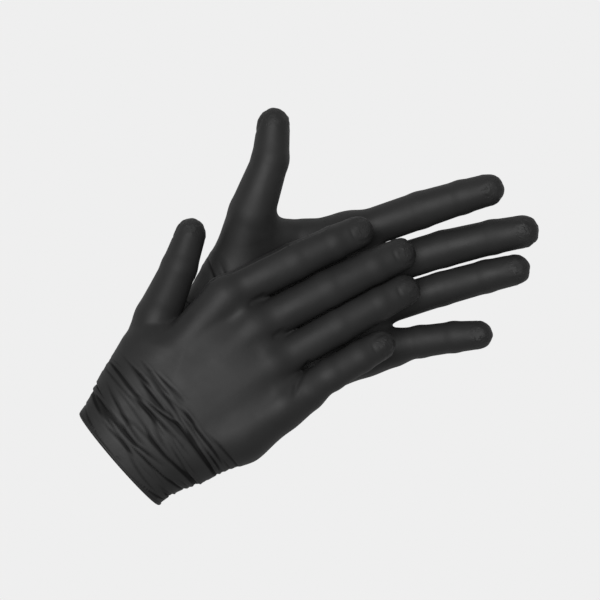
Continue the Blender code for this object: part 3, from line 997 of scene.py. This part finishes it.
def film_material():
    """Satin black nitrile: a matt skin with fine grain, slack creases at the wrist,
    puckers at the fingertips and a thin fold along the index finger.  Its base colour
    has a painted highlight along the fold and painted shade in the creases' grooves."""
    made = bpy.data.materials.new("black_nitrile_film")
    g = Graph(made)
    place, marks = g.attribute("film_place"), g.split(g.attribute("film_marks"))
    sleeve = g.attribute("film_sleeve")
    # Deep in the grooves of the wrist creases the base colour is darkened with painted shade, and the shine
    # is lowered there.
    groove = g.remap(g.split(sleeve)[2], *GROOVE_SHADE_DEPTHS, 1.0, 0.0)
    cloud = g.noise(place, 0.055, 3.0)
    grain = g.noise(place, 2.6, 3.0, rough=0.6)
    slack = g.noise(g.stretch(sleeve, (0.42, 0.035, 0.0)), 1.0, 3.0, "RIDGED_MULTIFRACTAL",
                    0.55, 0.35)
    pucker = g.noise(place, 0.62, 3.0, "RIDGED_MULTIFRACTAL", 0.6, 0.6)
    soft = g.noise(place, 0.16, 2.0)
    fold = g.math("DIVIDE", marks[0], 0.42)
    fold = g.math("EXPONENT", g.math("MULTIPLY", g.math("MULTIPLY", fold, fold), -1.0))
    crease = g.math("MULTIPLY", g.math("POWER", slack, 5.0), marks[1])
    height = g.math("MULTIPLY", crease, -0.9)
    height = g.math("MULTIPLY_ADD", g.math("MULTIPLY", pucker, marks[2]), 0.5, height)
    height = g.math("MULTIPLY_ADD", fold, 0.55, height)
    height = g.math("MULTIPLY_ADD", soft, 0.12, height)
    coarse = g.bump(height, 0.9, 0.001)
    fine = g.bump(grain, 0.35, 0.00012, coarse)
    g.put(g.shader.inputs["Normal"], fine)
    # Base colour: soft clouds vary the tone at random, the thin fold along the index finger gets a painted
    # highlight, and the grooves of the wrist creases get painted shade.
    tone_and_painted_light = g.math("MULTIPLY_ADD", fold, 0.8, g.remap(cloud, *CLOUD, 0.0, 0.25))
    tone_and_painted_light = g.math("SUBTRACT", g.math("ADD", tone_and_painted_light, 1.0), groove)
    tone = g.math("MULTIPLY_ADD", tone_and_painted_light, TONE_SHADE, TONE)
    g.put(g.shader.inputs["Base Color"], g.grey(tone))
    g.put(g.shader.inputs["Roughness"], g.remap(cloud, *CLOUD, *ROUGH))
    g.put(g.shader.inputs["Specular IOR Level"], g.remap(groove, 0.0, 1.0, *SHINE))
    return made


def aim(obj, target):
    back = obj.location - Vector(target)
    obj.rotation_mode = "QUATERNION"
    obj.rotation_quaternion = back.to_track_quat("Z", "Y")


def area_light(name, place, target, size, watts):
    lamp = bpy.data.lights.new(name, "AREA")
    lamp.shape = "DISK"
    lamp.size = size
    lamp.energy = watts
    made = bpy.data.objects.new(name, lamp)
    bpy.context.scene.collection.objects.link(made)
    made.location = place
    aim(made, target)
    return made


def build_stage():
    scene = bpy.context.scene
    scene.view_settings.view_transform = "Standard"
    world = bpy.data.worlds.new("studio")
    scene.world = world
    world.use_nodes = True
    sky_nodes, sky_links = world.node_tree.nodes, world.node_tree.links
    soft = sky_nodes["Background"]
    seen = sky_nodes.new("ShaderNodeBackground")
    soft.inputs["Color"].default_value = seen.inputs["Color"].default_value = PALE
    soft.inputs["Strength"].default_value = FILL
    sky_path = sky_nodes.new("ShaderNodeLightPath")
    sky_mix = sky_nodes.new("ShaderNodeMixShader")
    sky_links.new(sky_path.outputs["Is Camera Ray"], sky_mix.inputs[0])
    sky_links.new(soft.outputs[0], sky_mix.inputs[1])
    sky_links.new(seen.outputs[0], sky_mix.inputs[2])
    sky_links.new(sky_mix.outputs[0], sky_nodes["World Output"].inputs["Surface"])
    mesh = bpy.data.meshes.new("floor")
    corners = [(x * FLOOR_HALF, y * FLOOR_HALF, FLOOR_LEVEL)
               for x, y in ((-1, -1), (1, -1), (1, 1), (-1, 1))]
    mesh.from_pydata(corners, [], [(0, 1, 2, 3)])
    floor = bpy.data.objects.new("floor", mesh)
    scene.collection.objects.link(floor)
    pale = bpy.data.materials.new("pale_floor")
    pale.use_nodes = True
    nodes, links = pale.node_tree.nodes, pale.node_tree.links
    glow = nodes.new("ShaderNodeEmission")
    glow.inputs["Color"].default_value = PALE
    path = nodes.new("ShaderNodeLightPath")
    mix = nodes.new("ShaderNodeMixShader")
    links.new(path.outputs["Is Camera Ray"], mix.inputs[0])
    links.new(nodes["Principled BSDF"].outputs[0], mix.inputs[1])
    links.new(glow.outputs[0], mix.inputs[2])
    links.new(mix.outputs[0], nodes["Material Output"].inputs["Surface"])
    mesh.materials.append(pale)
    area_light("key", KEY_PLACE, (0, 0, 0), KEY_SIZE, KEY_WATTS)
    cam = bpy.data.cameras.new("camera")
    cam.lens = 100.0
    cam.sensor_width = 36.0
    eye = bpy.data.objects.new("camera", cam)
    scene.collection.objects.link(eye)
    eye.location = (0.0, 0.0, MIDDLE_PLANE + FRAME_WIDTH * cam.lens / cam.sensor_width)
    cam.clip_start = 0.01
    scene.camera = eye


gloves = {side: read_glove(side) for side in SIDES}
film = film_material()
for side in SIDES:
    other = gloves["right" if side == "left" else "left"]
    build_glove(gloves[side], other, film)
    build_bead(gloves[side], film)
build_stage()
